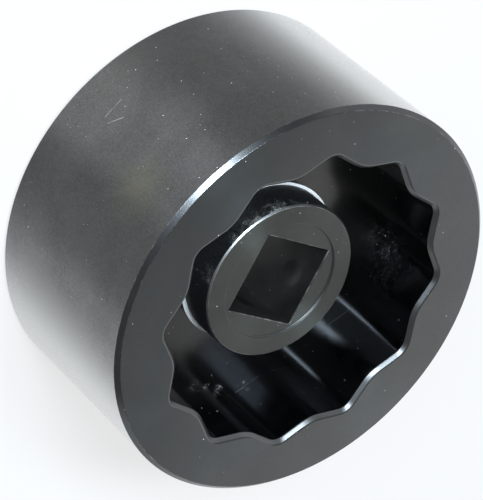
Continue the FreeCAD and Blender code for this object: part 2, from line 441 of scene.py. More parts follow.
class Loops:
    """Closed loops of points, laid one after another along a section."""

    def __init__(self, angles):
        self.angles = np.radians(angles)
        self.loops, self.edges, self.finishes = [], [], []

    def lay_points(self, points, edge, finish):
        """Add one loop whose points are already worked out."""
        self.loops.append(points)
        self.edges.append(edge)
        self.finishes.append(finish)

    def lay(self, radius, height, edge, finish):
        """Add one loop of this radius and height."""
        self.lay_points(ring(self.angles, radius, height), edge, finish)

    def follow(self, section, outline=lambda across: across):
        """Lay a loop for every point of a rounded section."""
        for across, height, edge, finish in section:
            self.lay(outline(across), height, edge, finish)

    def fill(self, steps, radius, height, finish):
        """Lay even loops from the last one towards the loop of this radius and height."""
        start, end = self.loops[-1], ring(self.angles, radius, height)
        for step in range(1, steps):
            share = step / steps
            self.lay_points(start * (1 - share) + end * share, 0.0, finish)

    def make(self, name):
        """Join the loops with four-sided faces; returns the object and its finishes."""
        grid = np.array(self.loops)
        count, around = grid.shape[:2]
        index = np.arange(count * around).reshape(count, around)
        up, on = np.roll(index, -1, axis=0), np.roll(index, -1, axis=1)
        both = np.roll(up, -1, axis=1)
        faces = np.stack((index, on, both, up), axis=-1).reshape(-1, 4)
        mesh = bpy.data.meshes.new(name)
        mesh.from_pydata((grid.reshape(-1, 3) * MM).tolist(), [], faces.tolist())
        names = sorted(set(self.finishes))
        slots = np.repeat([names.index(finish) for finish in self.finishes], around)
        mesh.polygons.foreach_set("material_index", slots.astype(np.int32))
        mesh.polygons.foreach_set("use_smooth", np.ones(len(faces), bool))
        edge = mesh.attributes.new("edge", "FLOAT", "POINT")
        edge.data.foreach_set("value", np.repeat(self.edges, around).astype(np.float32))
        mesh.update()
        piece = bpy.data.objects.new(name, mesh)
        bpy.context.scene.collection.objects.link(piece)
        print(name, "has", count, "loops of", around, "points, finishes:", names)
        return piece, names


print("loops are ready to be laid")

# %% [markdown]
# ## The twelve-point outline
# Two hexagons, one turned by 30 degrees, leave twelve outer points with twelve inward lobes
# between them. The cutter rounds the points a little and the lobes a lot. Measured from the
# nearest outer point, the wall is first the point's arc, then a flat, then the lobe's arc.
# Growing the outline by an offset keeps the arcs' centres, so bevels stay even all round.

# %% Angles round the socket, closer together in the points
POINTS = 12
SECTOR = 360.0 / POINTS
FINE_SPAN = 2.2
FINE_STEPS = 22
COARSE_STEPS = 40

sector_angles = np.concatenate((
    np.linspace(-FINE_SPAN, FINE_SPAN, FINE_STEPS, endpoint=False),
    np.linspace(FINE_SPAN, SECTOR - FINE_SPAN, COARSE_STEPS, endpoint=False),
))
SOCKET_ANGLES = np.concatenate([sector_angles + SECTOR * k for k in range(POINTS)])
print("angles round the socket:", len(SOCKET_ANGLES))

# %% Radius of the opening at every angle
FLAT_TILT = math.radians(30.0)
LOBE_TILT = math.radians(15.0)
POINT_CENTRE = (ACROSS_FLATS / 2 - POINT_ROUND) / math.cos(FLAT_TILT)
LOBE_CENTRE = (ACROSS_FLATS / 2 + LOBE_ROUND) / math.cos(LOBE_TILT)


def opening_radius(offset):
    """Distance of the opening's wall from the axis at every angle, grown by the offset."""
    from_point = np.radians(np.abs((SOCKET_ANGLES + SECTOR / 2) % SECTOR - SECTOR / 2))
    from_lobe = math.radians(SECTOR / 2) - from_point
    in_point, on_lobe = POINT_ROUND + offset, LOBE_ROUND - offset
    radius = (ACROSS_FLATS / 2 + offset) / np.cos(FLAT_TILT - from_point)
    point_end = math.atan2(
        in_point * math.sin(FLAT_TILT), POINT_CENTRE + in_point * math.cos(FLAT_TILT)
    )
    lobe_end = math.atan2(
        on_lobe * math.sin(LOBE_TILT), LOBE_CENTRE - on_lobe * math.cos(LOBE_TILT)
    )
    near_point, near_lobe = from_point < point_end, from_lobe < lobe_end
    a = from_point[near_point]
    radius[near_point] = POINT_CENTRE * np.cos(a) + np.sqrt(
        in_point ** 2 - (POINT_CENTRE * np.sin(a)) ** 2
    )
    a = from_lobe[near_lobe]
    radius[near_lobe] = LOBE_CENTRE * np.cos(a) - np.sqrt(
        on_lobe ** 2 - (LOBE_CENTRE * np.sin(a)) ** 2
    )
    return radius


wall = opening_radius(0.0)
print("opening from", round(float(wall.min()), 2), "to", round(float(wall.max()), 2), "mm")

# %% [markdown]
# ## The socket
# The section runs from the hub's seat along the back face, over the back bevel, up the side,
# over the mouth bevel and in to the opening, then down the wall, across the floor and down
# the seat to where it began. Edges on a turned and blackened tool are never sharp: each has a
# round of less than a tenth of a millimetre. The bevel of the opening has softer ones, because
# its line in the photograph has no hard rims.

# %% Socket mesh
SMALL_ROUND = 0.07
OPENING_ROUND = 0.3
OPENING_RUB = 0.6
FLOOR_ROUND = 0.004
SEAT_FIRST, SEAT_LAST = 0.6, 1.0
FACE_RING = 1.2
RIM_RING = OPENING_BEVEL + 0.5
FLOOR_RING = 0.8

socket_loops = Loops(SOCKET_ANGLES)
socket_loops.follow(round_corners([
    (HUB_RADIUS, SEAT_FIRST, 0, "hidden"),
    (HUB_RADIUS, 0.0, SMALL_ROUND, "face"),
    (BODY_RADIUS - BACK_BEVEL, 0.0, SMALL_ROUND, "side"),
    (BODY_RADIUS, BACK_BEVEL, SMALL_ROUND, "side"),
    (BODY_RADIUS, BODY_HEIGHT - MOUTH_BEVEL, SMALL_ROUND, "bevel"),
    (BODY_RADIUS - MOUTH_BEVEL, BODY_HEIGHT, SMALL_ROUND, "face"),
    (BODY_RADIUS - FACE_RING, BODY_HEIGHT, 0, "face"),
]))
socket_loops.fill(5, opening_radius(RIM_RING), BODY_HEIGHT, "face")
socket_loops.follow(round_corners([
    (RIM_RING, BODY_HEIGHT, 0, "face"),
    (OPENING_BEVEL, BODY_HEIGHT, OPENING_ROUND, "opening_bevel", OPENING_RUB),
    (0.0, BODY_HEIGHT - OPENING_BEVEL, OPENING_ROUND, "opening", OPENING_RUB),
    (0.0, FLOOR_HEIGHT, FLOOR_ROUND, "floor"),
    (-FLOOR_RING, FLOOR_HEIGHT, 0, "floor"),
]), opening_radius)
socket_loops.fill(5, HUB_RADIUS + FLOOR_RING, FLOOR_HEIGHT, "floor")
socket_loops.follow(round_corners([
    (HUB_RADIUS + FLOOR_RING, FLOOR_HEIGHT, 0, "floor"),
    (HUB_RADIUS, FLOOR_HEIGHT, SMALL_ROUND / 2, "hidden"),
    (HUB_RADIUS, SEAT_LAST, 0, "hidden"),
]))
socket, socket_finishes = socket_loops.make("cap_socket")

# %% [markdown]
# ## The square hole
# The hub is a turned plug with a square hole. The square is turned 8 degrees from the nearest
# outer point, as it happened to be pressed in. High up in each wall is a round recess for the
# ratchet's spring ball, which the photograph shows only faintly. It could be cut out, but it
# is so shallow that the wall's points are pushed out instead, most at the recess's middle.

# %% Angles round the hub, closer together at the square's corners
quarter = np.concatenate((
    np.linspace(0, 44.5, 89, endpoint=False), (44.5, 44.8, 44.95, 45.05, 45.2),
    np.linspace(45.5, 90, 89, endpoint=False),
))
HUB_ANGLES = np.concatenate([quarter + 90 * k for k in range(4)]) + DRIVE_TURN
print("angles round the hub:", len(HUB_ANGLES))

# %% Outline of the square hole
CORNER_ROUND = 0.006
CORNER_TILT = math.radians(45)


def square_radius(offset=0.0):
    """Distance of the square hole's wall from the axis at every angle of the hub."""
    from_flat = np.radians(np.abs((HUB_ANGLES - DRIVE_TURN + 45) % 90 - 45))
    radius = (DRIVE_SQUARE / 2 + offset) / np.cos(from_flat)
    centre = math.sqrt(2) * (DRIVE_SQUARE / 2 - CORNER_ROUND)
    bend = CORNER_ROUND + offset
    arc_end = math.atan2(
        bend * math.sin(CORNER_TILT), centre + bend * math.cos(CORNER_TILT)
    )
    from_corner = CORNER_TILT - from_flat
    near = from_corner < arc_end
    a = from_corner[near]
    radius[near] = centre * np.cos(a) + np.sqrt(bend ** 2 - (centre * np.sin(a)) ** 2)
    return radius


def wall_with_recesses(height):
    """Points of the square wall at this height, pushed out where a ball recess is."""
    radius, angles = square_radius(), np.radians(HUB_ANGLES)
    points = ring(angles, radius, height)
    facing = np.radians(np.round((HUB_ANGLES - DRIVE_TURN) / 90) * 90 + DRIVE_TURN)
    along = radius * np.sin(angles - facing)
    distance = np.hypot(along, height - RECESS_HEIGHT)
    push = RECESS_DEPTH * np.clip(1 - (distance / RECESS_RADIUS) ** 2, 0, 1) ** 2
    points[:, 0] += push * np.cos(facing)
    points[:, 1] += push * np.sin(facing)
    return points


square = square_radius()
print("square hole from", round(float(square.min()), 2), "to", round(float(square.max()), 2), "mm")

# %% [markdown]
# ## The hub
# The section starts just inside the entry cone at the back. It runs out over the back face,
# up the hub's side, over the bevel and across the face to a shallow round relief, and then
# down the square hole. The cone meets the square's flats higher up than its corners, so the
# loops there have a height that changes with the angle.

# %% Hub mesh
HUB_FACE_ROUND = 0.07
RELIEF_ROUND = 0.03
RELIEF_FOOT = 0.06
RELIEF_SLOPE = 0.08
RELIEF_FLOOR = HUB_FACE - RELIEF_DEPTH
RELIEF_RING = 0.25
CONE_FIRST = 0.25
SQUARE_EASE = 0.12
EASE_HOLD = 0.04
EASED_EDGE = ((1.0, 0.0, "hub_face"), (0.5, 0.35, "hole"), (0.0, 1.0, "hole"))
RECESS_STEP = 0.1
GRID_DROP = 0.05
GRID_MARGIN = 0.2
CONE_BREAK = 0.01
CONE_HOLD = 0.1

hub_loops = Loops(HUB_ANGLES)
hub_loops.follow(round_corners([
    (ENTRY_RADIUS - CONE_FIRST, CONE_FIRST, 0, "hole"),
    (ENTRY_RADIUS, 0.0, SMALL_ROUND, "hub_face"),
    (HUB_RADIUS, 0.0, SMALL_ROUND, "hub_side"),
    (HUB_RADIUS, HUB_FACE - HUB_BEVEL, HUB_FACE_ROUND, "hub_bevel"),
    (HUB_RADIUS - HUB_BEVEL, HUB_FACE, HUB_FACE_ROUND, "hub_face"),
    (RELIEF_RADIUS, HUB_FACE, RELIEF_ROUND, "hub_bevel", 0.0),
    (RELIEF_RADIUS - RELIEF_SLOPE, RELIEF_FLOOR, RELIEF_FOOT, "hub_face"),
    (RELIEF_RADIUS - RELIEF_SLOPE - RELIEF_RING, RELIEF_FLOOR, 0, "hub_face"),
]))
hub_loops.fill(4, square_radius(SQUARE_EASE), RELIEF_FLOOR, "hub_face")
hub_loops.lay(square_radius(SQUARE_EASE + EASE_HOLD), RELIEF_FLOOR, 0.5, "hub_face")
for outward_share, down_share, finish in EASED_EDGE:
    hub_loops.lay(
        square_radius(SQUARE_EASE * outward_share), RELIEF_FLOOR - SQUARE_EASE * down_share,
        1.0, finish,
    )
grid_top = RELIEF_FLOOR - SQUARE_EASE - GRID_DROP
grid_foot = RECESS_HEIGHT - RECESS_RADIUS - GRID_MARGIN
for height in np.arange(grid_top, grid_foot, -RECESS_STEP):
    hub_loops.lay_points(wall_with_recesses(height), 0.0, "hole")
cone_height = ENTRY_RADIUS - square
hub_loops.fill(6, square, cone_height + CONE_HOLD, "hole")
hub_loops.lay(square, cone_height + CONE_HOLD, 0.0, "hole")
hub_loops.lay(square + CONE_BREAK, cone_height, 1.0, "hole")
hub_loops.lay(square + CONE_HOLD, cone_height - CONE_HOLD, 0.3, "hole")
hub, hub_finishes = hub_loops.make("square_drive_hub")

# %% [markdown]
# ## The braze
# A thin bright line runs round the hub's foot in the photograph. It is bare metal: a fillet
# of braze that closes the corner. Braze flows, so its section is hollow and never quite even,
# and the bead is fuller at two places. The wobble is a sum of a few sine waves with fixed
# phases, so every run gives the same ring, which random numbers would not.

# %% Size of the braze at every angle
THIN_SHARE = 0.5
FULL_PLACES = ((65.0, 0.55), (-110.0, 0.45))
FULL_SPREAD = 28.0
WAVES = ((3, 0.4, 0.5), (7, 2.1, 0.3), (17, 1.3, 0.25), (41, 0.2, 0.2))
WAVE_SHARE = 0.04

braze_angles = np.linspace(0, 360, 720, endpoint=False)
fullness = np.full(braze_angles.shape, THIN_SHARE)
for side, share in FULL_PLACES:
    from_side = (braze_angles - side + 180) % 360 - 180
    fullness += share * np.exp(-(from_side / FULL_SPREAD) ** 2)
for turns, phase, size in WAVES:
    fullness += WAVE_SHARE * size * np.sin(np.radians(braze_angles) * turns + phase)
leg = BRAZE_LEG * fullness
print("braze legs from", round(float(leg.min()), 2), "to", round(float(leg.max()), 2), "mm")

# %% Braze mesh
BRAZE_STEPS = 8
BRAZE_SINK = 0.04
BRAZE_PRESS = 0.01
TUCKED_SHARE = 0.9
HOLLOW_SHARE = 0.6

deepest = (leg / 2) * (1 - 2 * BRAZE_THROAT / BRAZE_LEG) * HOLLOW_SHARE
braze_loops = Loops(braze_angles)
braze_loops.lay(HUB_RADIUS - BRAZE_SINK, FLOOR_HEIGHT - BRAZE_SINK, 0.0, "braze")
braze_loops.lay(HUB_RADIUS + leg * TUCKED_SHARE, FLOOR_HEIGHT - BRAZE_SINK, 0.0, "braze")
for step in range(BRAZE_STEPS + 1):
    share = step / BRAZE_STEPS
    inset = deepest * 4 * share * (1 - share) + BRAZE_PRESS
    braze_loops.lay(
        HUB_RADIUS + leg * (1 - share) - inset, FLOOR_HEIGHT + leg * share - inset, 0.0, "braze"
    )
braze_loops.lay(HUB_RADIUS - BRAZE_SINK, FLOOR_HEIGHT + leg * TUCKED_SHARE, 0.0, "braze")
braze, braze_finishes = braze_loops.make("braze_bead")

# %% [markdown]
# ## Faces turned out
# A closed mesh has an inside and an outside, and light and export both ask which is which.
# Blender can recalculate that in edit mode. The sign of the volume tells it as surely and
# needs no modes: it is negative when the faces look in.


# %% Turn every mesh the right way out
def turn_out(piece):
    """Flip the faces of a closed mesh if they look inwards."""
    mesh = piece.data
    mesh.calc_loop_triangles()
    corners = np.array([mesh.vertices[i].co for t in mesh.loop_triangles for i in t.vertices])
    a, b, c = corners.reshape(-1, 3, 3).transpose(1, 0, 2)
    volume = float(np.einsum("ij,ij->i", a, np.cross(b, c)).sum() / 6)
    if volume < 0:
        mesh.flip_normals()
    print(piece.name, "holds", round(abs(volume) / MM ** 3, 1), "cubic millimetres")


for piece in (socket, hub, braze):
    turn_out(piece)

# %% [markdown]
# ## Finishes
# Blackened steel is bare steel with a thin dark oxide, so it is a metal with a dark colour.
# Its looks come from small things: fine pits and grain, cloudy patches in the oxide, an
# uneven film of oil, specks of dust, and edges where handling has rubbed the black away.
# Several finishes share each of these effects, so each is a node group that is built once and
# placed with its own numbers. All of them work in the object's own coordinates, in metres.
#
# Grain and pits come first. The grain is a noise, and the pits are bowls in some cells of a
# Voronoi texture. A painted texture could show both, but it would blur close up.

# %% Group: fine grain with pits
FLOAT, VECTOR, COLOUR = "NodeSocketFloat", "NodeSocketVector", "NodeSocketColor"
BOWL_FLOOR, BOWL_RIM = 0.10, 0.42

grain, given, result = new_group(
    "fine_grain",
    [("Position", VECTOR, None), ("Grain Size", FLOAT, 0.0002), ("Pit Size", FLOAT, 0.0004),
     ("Pit Share", FLOAT, 0.3)],
    [("Height", FLOAT), ("Grain", FLOAT), ("Pits", FLOAT)],
)
lumps = noise(grain, given["Position"], given["Grain Size"], detail=3.0, rough=0.65)
distance, chance = cells(grain, given["Position"], given["Pit Size"])
bowl = fade_between(grain, distance, BOWL_FLOOR, BOWL_RIM, 1.0, 0.0)
chosen = calc(grain, "LESS_THAN", chance[0], given["Pit Share"])
pits = calc(grain, "MULTIPLY", bowl, chosen)
feed(grain, result["Height"], calc(grain, "SUBTRACT", lumps, pits))
feed(grain, result["Grain"], lumps)
feed(grain, result["Pits"], pits)

# %% [markdown]
# The oxide is never one even black. Wide clouds make it lighter and darker, and a second
# noise, moved aside so that it does not follow the first, turns it bluish or brownish. Small
# blotches give ragged outlines to oil and dirt.

# %% Group: cloudy oxide
MOVED_ASIDE = (0.31, 0.17, 0.23)
BLOTCH_SHARE = 0.07
WHOLE_SPREAD = (0.3, 0.7)
BLUE_SPREAD = (0.5, 0.68)
BROWN_SPREAD = (0.46, 0.3)

clouds, given, result = new_group(
    "oxide_clouds",
    [("Position", VECTOR, None), ("Cloud Size", FLOAT, 0.012)],
    [("Tone", FLOAT), ("Blue", FLOAT), ("Brown", FLOAT), ("Mottle", FLOAT)],
)
position, cloud_size = given["Position"], given["Cloud Size"]
wide = noise(clouds, position, cloud_size, detail=4.0, rough=0.55, distortion=0.6)
moved = vector_calc(clouds, "ADD", position, MOVED_ASIDE)["Vector"]
other = noise(clouds, moved, cloud_size, detail=3.0, rough=0.6, distortion=0.4)
small = calc(clouds, "MULTIPLY", cloud_size, BLOTCH_SHARE)
blotches = noise(clouds, position, small, detail=3.0, rough=0.6, distortion=0.3)
feed(clouds, result["Tone"], fade_between(clouds, wide, *WHOLE_SPREAD))
feed(clouds, result["Mottle"], fade_between(clouds, blotches, *WHOLE_SPREAD))
feed(clouds, result["Blue"], fade_between(clouds, other, *BLUE_SPREAD))
feed(clouds, result["Brown"], fade_between(clouds, other, *BROWN_SPREAD))

# %% Group: colour of the oxide
BLUER = (0.75, 1.0, 1.35)
BROWNER = (1.25, 1.05, 0.75)

oxide_colour, given, result = new_group(
    "oxide_colour",
    [("Colour", COLOUR, None), ("Cloud Depth", FLOAT, 0.1), ("Blue Tint", FLOAT, 0.0),
     ("Brown Tint", FLOAT, 0.0), ("Tone", FLOAT, 0.5), ("Blue", FLOAT, 0.0),
     ("Brown", FLOAT, 0.0)],
    [("Colour", COLOUR)],
)
plain = given["Colour"]
less = calc(oxide_colour, "SUBTRACT", 1.0, given["Cloud Depth"])
more = calc(oxide_colour, "ADD", 1.0, given["Cloud Depth"])
dark = vector_calc(oxide_colour, "SCALE", plain, scale=less)["Vector"]
light = vector_calc(oxide_colour, "SCALE", plain, scale=more)["Vector"]
tone = blend_colour(oxide_colour, given["Tone"], dark, light)
for hue, factors in (("Blue", BLUER), ("Brown", BROWNER)):
    tinted = vector_calc(oxide_colour, "MULTIPLY", plain, factors)["Vector"]
    amount = calc(oxide_colour, "MULTIPLY", given[hue], given[hue + " Tint"])
    tone = blend_colour(oxide_colour, amount, tone, tinted)
feed(oxide_colour, result["Colour"], tone)

# %% [markdown]
# Where the steel was left coarse, the grain shows in the colour too: its tops are lighter,
# partly where the black has worn thin and partly as a painted highlight, and the pits are
# darker, as painted shade in the hollows. Bump alone would not show that in soft light.

# %% Group: colour of coarse grain
TOP_WEAR_AND_LIGHT_FACTOR = 2.2
PIT_SHADE_FACTOR = 0.45
PIT_SHADE_AMOUNT = 0.7
TOPS_SPREAD = (0.35, 0.68)

grain_wear_and_shade, given, result = new_group(
    "grain_wear_and_shade",
    [("Under", COLOUR, None), ("Colour", COLOUR, None), ("Grain", FLOAT, 0.5),
     ("Pits", FLOAT, 0.0), ("Amount", FLOAT, 0.5)],
    [("Colour", COLOUR)],
)
# Lighter tops are partly worn black and partly a painted highlight; darker pits are painted shade.
worn_and_lit_tops = vector_calc(grain_wear_and_shade, "SCALE", given["Colour"], scale=TOP_WEAR_AND_LIGHT_FACTOR)["Vector"]
shaded_pits = vector_calc(grain_wear_and_shade, "SCALE", given["Colour"], scale=PIT_SHADE_FACTOR)["Vector"]
lift = fade_between(grain_wear_and_shade, given["Grain"], *TOPS_SPREAD)
lift = calc(grain_wear_and_shade, "MULTIPLY", lift, given["Amount"])
tone = blend_colour(grain_wear_and_shade, lift, given["Under"], worn_and_lit_tops)
pit_shade_share = calc(grain_wear_and_shade, "MULTIPLY", given["Pits"], PIT_SHADE_AMOUNT)
feed(grain_wear_and_shade, result["Colour"], blend_colour(grain_wear_and_shade, pit_shade_share, tone, shaded_pits))

# %% [markdown]
# Dust lies on the tool as fine specks of different sizes, thicker in some places than in
# others. Each is the middle of a small Voronoi cell, and chance picks the cells that have
# one. A particle system could scatter real specks, but they would be too many to carry.

# %% Group: settled dust
DRIFT_SIZE = 0.006
DRIFT_SPREAD = (0.42, 0.66)
THIN_DRIFT = 0.15
SPECK_LEAST, SPECK_VARIES = 0.03, 0.07
FAINTEST = 0.25

dust, given, result = new_group(
    "settled_dust",
    [("Position", VECTOR, None), ("Spacing", FLOAT, 0.0007), ("Share", FLOAT, 0.2)],
    [("Specks", FLOAT)],
)
distance, chance = cells(dust, given["Position"], given["Spacing"])
drift = noise(dust, given["Position"], DRIFT_SIZE)
drift = fade_between(dust, drift, *DRIFT_SPREAD, THIN_DRIFT, 1.0)
chosen = calc(dust, "LESS_THAN", chance[1], calc(dust, "MULTIPLY", given["Share"], drift))
size = calc(dust, "MULTIPLY_ADD", chance[2], SPECK_VARIES, SPECK_LEAST)
speck = fade_between(dust, calc(dust, "SUBTRACT", distance, size), -0.01, 0.02, 1.0, 0.0)
strength = fade_between(dust, chance[0], 0.2, 1.0, FAINTEST, 1.0)
speck = calc(dust, "MULTIPLY", speck, strength)
feed(dust, result["Specks"], calc(dust, "MULTIPLY", speck, chosen))

# %% [markdown]
# A smudge or a stain is a patch with a ragged rim. It is a sphere round a chosen centre, and
# the oxide's blotches push its surface in and out. Painting it on an unwrapped mesh would
# place it as well, but a sphere needs no unwrapping and can cross from one face to the next.

# %% Group: ragged patch
RIM_SHARE = 1.1

patch, given, result = new_group(
    "ragged_patch",
    [("Position", VECTOR, None), ("Mottle", FLOAT, 0.5), ("Centre", VECTOR, None),
     ("Reach", FLOAT, 0.002), ("Raggedness", FLOAT, 0.6), ("Core", FLOAT, 0.3),
     ("Strength", FLOAT, 1.0)],
    [("Mask", FLOAT)],
)
away = vector_calc(patch, "DISTANCE", given["Position"], given["Centre"])["Value"]
rag = calc(patch, "MULTIPLY", given["Reach"], given["Raggedness"])
away = calc(patch, "MULTIPLY_ADD", given["Mottle"], rag, away)
core = calc(patch, "MULTIPLY", given["Reach"], given["Core"])
rim = calc(patch, "MULTIPLY", given["Reach"], RIM_SHARE)
feed(patch, result["Mask"], fade_between(patch, away, core, rim, given["Strength"], 0.0))

# %% [markdown]
# Handling rubs the black off the edges first. The mesh already knows where its edges are, by
# the number that each loop carries, so a noise only has to break that line up. The usual
# trick of reading sharp edges from the Geometry node's pointiness works only in one renderer.

# %% Group: rubbed edges
WEAR_SIZE = 0.0015
WEAR_LIFT = 0.45
WEAR_LIMIT = 1.15

rubbing, given, result = new_group(
    "rubbed_edges",
    [("Edge", FLOAT, 0.0), ("Position", VECTOR, None), ("Amount", FLOAT, 0.5)],
    [("Bare", FLOAT)],
)
patchy = noise(rubbing, given["Position"], WEAR_SIZE, detail=4.0, rough=0.7)
reach = calc(rubbing, "MULTIPLY", given["Edge"], calc(rubbing, "ADD", patchy, WEAR_LIFT))
limit = calc(rubbing, "SUBTRACT", WEAR_LIMIT, given["Amount"])
over = calc(rubbing, "SUBTRACT", reach, limit)
feed(rubbing, result["Bare"], fade_between(rubbing, over, -0.15, 0.2))

# %% [markdown]
# A scratch is a thin bright line between two chosen points. The group measures how far each
# place is from the nearest point of that line, and a fine noise breaks the line up.

# %% Group: one thin scratch
BREAK_SIZE = 0.0004
BREAK_DEPTH = 0.00006
SHARP_WIDTH = 0.00003
SOFT_RIM = 0.00004

scratch, given, result = new_group(
    "thin_scratch",
    [("Position", VECTOR, None), ("Start", VECTOR, None), ("Run", VECTOR, None),
     ("Width", FLOAT, 0.00006)],
    [("Mark", FLOAT)],
)
away = vector_calc(scratch, "SUBTRACT", given["Position"], given["Start"])["Vector"]
along = vector_calc(scratch, "DOT_PRODUCT", away, given["Run"])["Value"]
whole = vector_calc(scratch, "DOT_PRODUCT", given["Run"], given["Run"])["Value"]
share = calc(scratch, "DIVIDE", along, whole, clamp=True)
nearest = vector_calc(scratch, "SCALE", given["Run"], scale=share)["Vector"]
gap = vector_calc(scratch, "DISTANCE", away, nearest)["Value"]
broken = noise(scratch, given["Position"], BREAK_SIZE)
gap = calc(scratch, "ADD", gap, calc(scratch, "MULTIPLY", broken, BREAK_DEPTH))
rim = calc(scratch, "ADD", given["Width"], SOFT_RIM)
feed(scratch, result["Mark"], fade_between(scratch, gap, SHARP_WIDTH, rim, 1.0, 0.0))

# %% [markdown]
# The thin film of oil is what makes black steel shine. It is thicker in some places than in
# others, and the grain pokes through it. The film goes on as the shader's own coat, so it
# needs only a weight here. Mixing in a second glossy shader would do too, but the export
# reads a coat and not a mix.

# %% Group: uneven film of oil
GRAIN_THINS = 0.45
TONE_THINS = 0.45
MOTTLE_THINS = 0.2

oil_film, given, result = new_group(
    "oil_film",
    [("Grain", FLOAT, 0.5), ("Tone", FLOAT, 0.5), ("Mottle", FLOAT, 0.5), ("Oil", FLOAT, 1.0),
     ("Depth", FLOAT, 0.5)],
    [("Film", FLOAT)],
)
film = given["Oil"]
for label, low, high, thins in (
    ("Grain", 0.34, 0.66, GRAIN_THINS), ("Tone", 0.0, 1.0, TONE_THINS),
    ("Mottle", 0.0, 1.0, MOTTLE_THINS),
):
    thinnest = calc(oil_film, "MULTIPLY_ADD", given["Depth"], -thins, 1.0)
    even = fade_between(oil_film, given[label], low, high, thinnest, 1.0)
    film = calc(oil_film, "MULTIPLY", film, even)
feed(oil_film, result["Film"], film)

# %% [markdown]
# ## One recipe for every blackened surface
# Every surface of the socket and the hub has the same oxide, so one recipe makes them all,
# each with its own amounts. The helpers in the next cell put the chosen marks of a finish
# into single masks: dust with smudges and patches of painted sheen and highlight, scratches,
# and the bands of painted shade that run up the side.


# %% Masks for the marks of one finish
PATCH_RAGGEDNESS, PATCH_CORE = 0.6, 0.3
GRIT_SPREAD = (0.44, 0.74)
GRIT_LEAST = 0.15


def dust_and_glint_mask(tree, place, texture, oxide, share, dust_and_glint_patches):
    """Dust specks all over, and a gritty patch for every listed patch (centre, reach, strength).
    Some patches are dust; others are painted sheen and painted highlight.
    """
    specks = place_group(tree, dust, Position=place, Share=share)["Specks"]
    for centre, reach, strength in dust_and_glint_patches:
        mask = place_group(
            tree, patch, Position=place, Mottle=oxide["Mottle"], Centre=centre, Reach=reach,
            Raggedness=PATCH_RAGGEDNESS, Core=PATCH_CORE, Strength=strength)["Mask"]
        gritty = fade_between(tree, texture["Grain"], *GRIT_SPREAD, GRIT_LEAST, 1.0)
        specks = calc(tree, "MAXIMUM", specks, calc(tree, "MULTIPLY", mask, gritty))
    return specks


def scratch_mask(tree, place, scratches):
    """A thin mark for every scratch (start, end)."""
    marks = 0.0
    for start, end in scratches:
        run = tuple(b - a for a, b in zip(start, end))
        mark = place_group(tree, scratch, Position=place, Start=start, Run=run)["Mark"]
        marks = calc(tree, "MAXIMUM", marks, mark)
    return marks


def painted_shade_band_mask(tree, place, painted_shade_bands):
    """1 all round the tool, and less in every band of painted shade (bearing, half width,
    strength).
    """
    painted_shade_dimming = 1.0
    for bearing, width, strength in painted_shade_bands:
        level = vector_calc(tree, "MULTIPLY", place, (1.0, 1.0, 0.0))["Vector"]
        outward = vector_calc(tree, "NORMALIZE", level)["Vector"]
        middle = direction_at(bearing, 0.0)
        close = vector_calc(tree, "DOT_PRODUCT", outward, middle)["Value"]
        rim = math.cos(math.radians(width))
        band = fade_between(tree, close, rim, 1.0, 1.0, 1.0 - strength)
        painted_shade_dimming = calc(tree, "MULTIPLY", painted_shade_dimming, band)
    return painted_shade_dimming


print("mask helpers are ready")

# %% [markdown]
# The colour is built up in the order in which a real surface gets it: oxide, wear, dust with
# its patches of painted sheen and highlight, scratches, stains. On the side, two bands of
# painted shade come after that, and then a painted reflection at the glance. In the
# photograph the side fades to a light grey where it turns away from the camera, because it
# mirrors the white paper more and more; here the colour itself turns light grey. The Layer
# Weight node gives that angle.

# %% Colour of a blackened surface
BARE_STEEL = (0.42, 0.44, 0.46, 1)
DUST_AND_GLINT_COLOUR = (0.75, 0.76, 0.74, 1)
SCRATCH_COLOUR = (0.55, 0.57, 0.55, 1)
SCRATCH_AMOUNT = 0.75
PAINTED_SHADE_COLOUR = (0.008, 0.008, 0.008, 1)
GLANCE_FROM, GLANCE_TO = 0.48, 0.80
STAIN_RAGGEDNESS, STAIN_CORE = 0.5, 0.2


def oxide_tone(tree, texture, oxide, colour, cloud_depth, blue_tint, brown_tint, grain_wear_and_shading):
    """The colour of the clean oxide, with the grain's wear and painted shade when asked for."""
    tone = place_group(
        tree, oxide_colour, Colour=(*colour, 1), Cloud_Depth=cloud_depth, Blue_Tint=blue_tint,
        Brown_Tint=brown_tint, Tone=oxide["Tone"], Blue=oxide["Blue"],
        Brown=oxide["Brown"])["Colour"]
    if grain_wear_and_shading:
        tone = place_group(
            tree, grain_wear_and_shade, Under=tone, Colour=(*colour, 1), Grain=texture["Grain"],
            Pits=texture["Pits"], Amount=grain_wear_and_shading)["Colour"]
    return tone


def stained(tree, tone, place, oxide, stains):
    """The colour with every stain (centre, reach, strength, colour) on it."""
    for centre, reach, strength, colour in stains:
        stain = place_group(
            tree, patch, Position=place, Mottle=oxide["Mottle"], Centre=centre, Reach=reach,
            Raggedness=STAIN_RAGGEDNESS, Core=STAIN_CORE, Strength=strength)["Mask"]
        tone = blend_colour(tree, stain, tone, (*colour, 1))
    return tone


def painted_glancing_reflection(tree, tone, painted_shade_dimming, reflection_colour):
    """The colour, turning to the light grey of a painted reflection where the surface turns away.
    """
    slant = tree.nodes.new("ShaderNodeLayerWeight")
    slant.inputs["Blend"].default_value = 0.5
    turned_away = fade_between(tree, slant.outputs["Facing"], GLANCE_FROM, GLANCE_TO)
    turned_away = calc(tree, "MULTIPLY", turned_away, painted_shade_dimming)
    return blend_colour(tree, turned_away, tone, (*reflection_colour, 1))


print("colour helpers are ready")

# %% The recipe
PIT_TO_GRAIN = 2.5
UNEVEN_SHARE, UNEVEN_MOST = 0.2, 0.08
DUST_ROUGHNESS = 0.4
ROUND_THE_AXIS = 0.25
COAT_ROUGHNESS = 0.16
COAT_IOR = 2.0


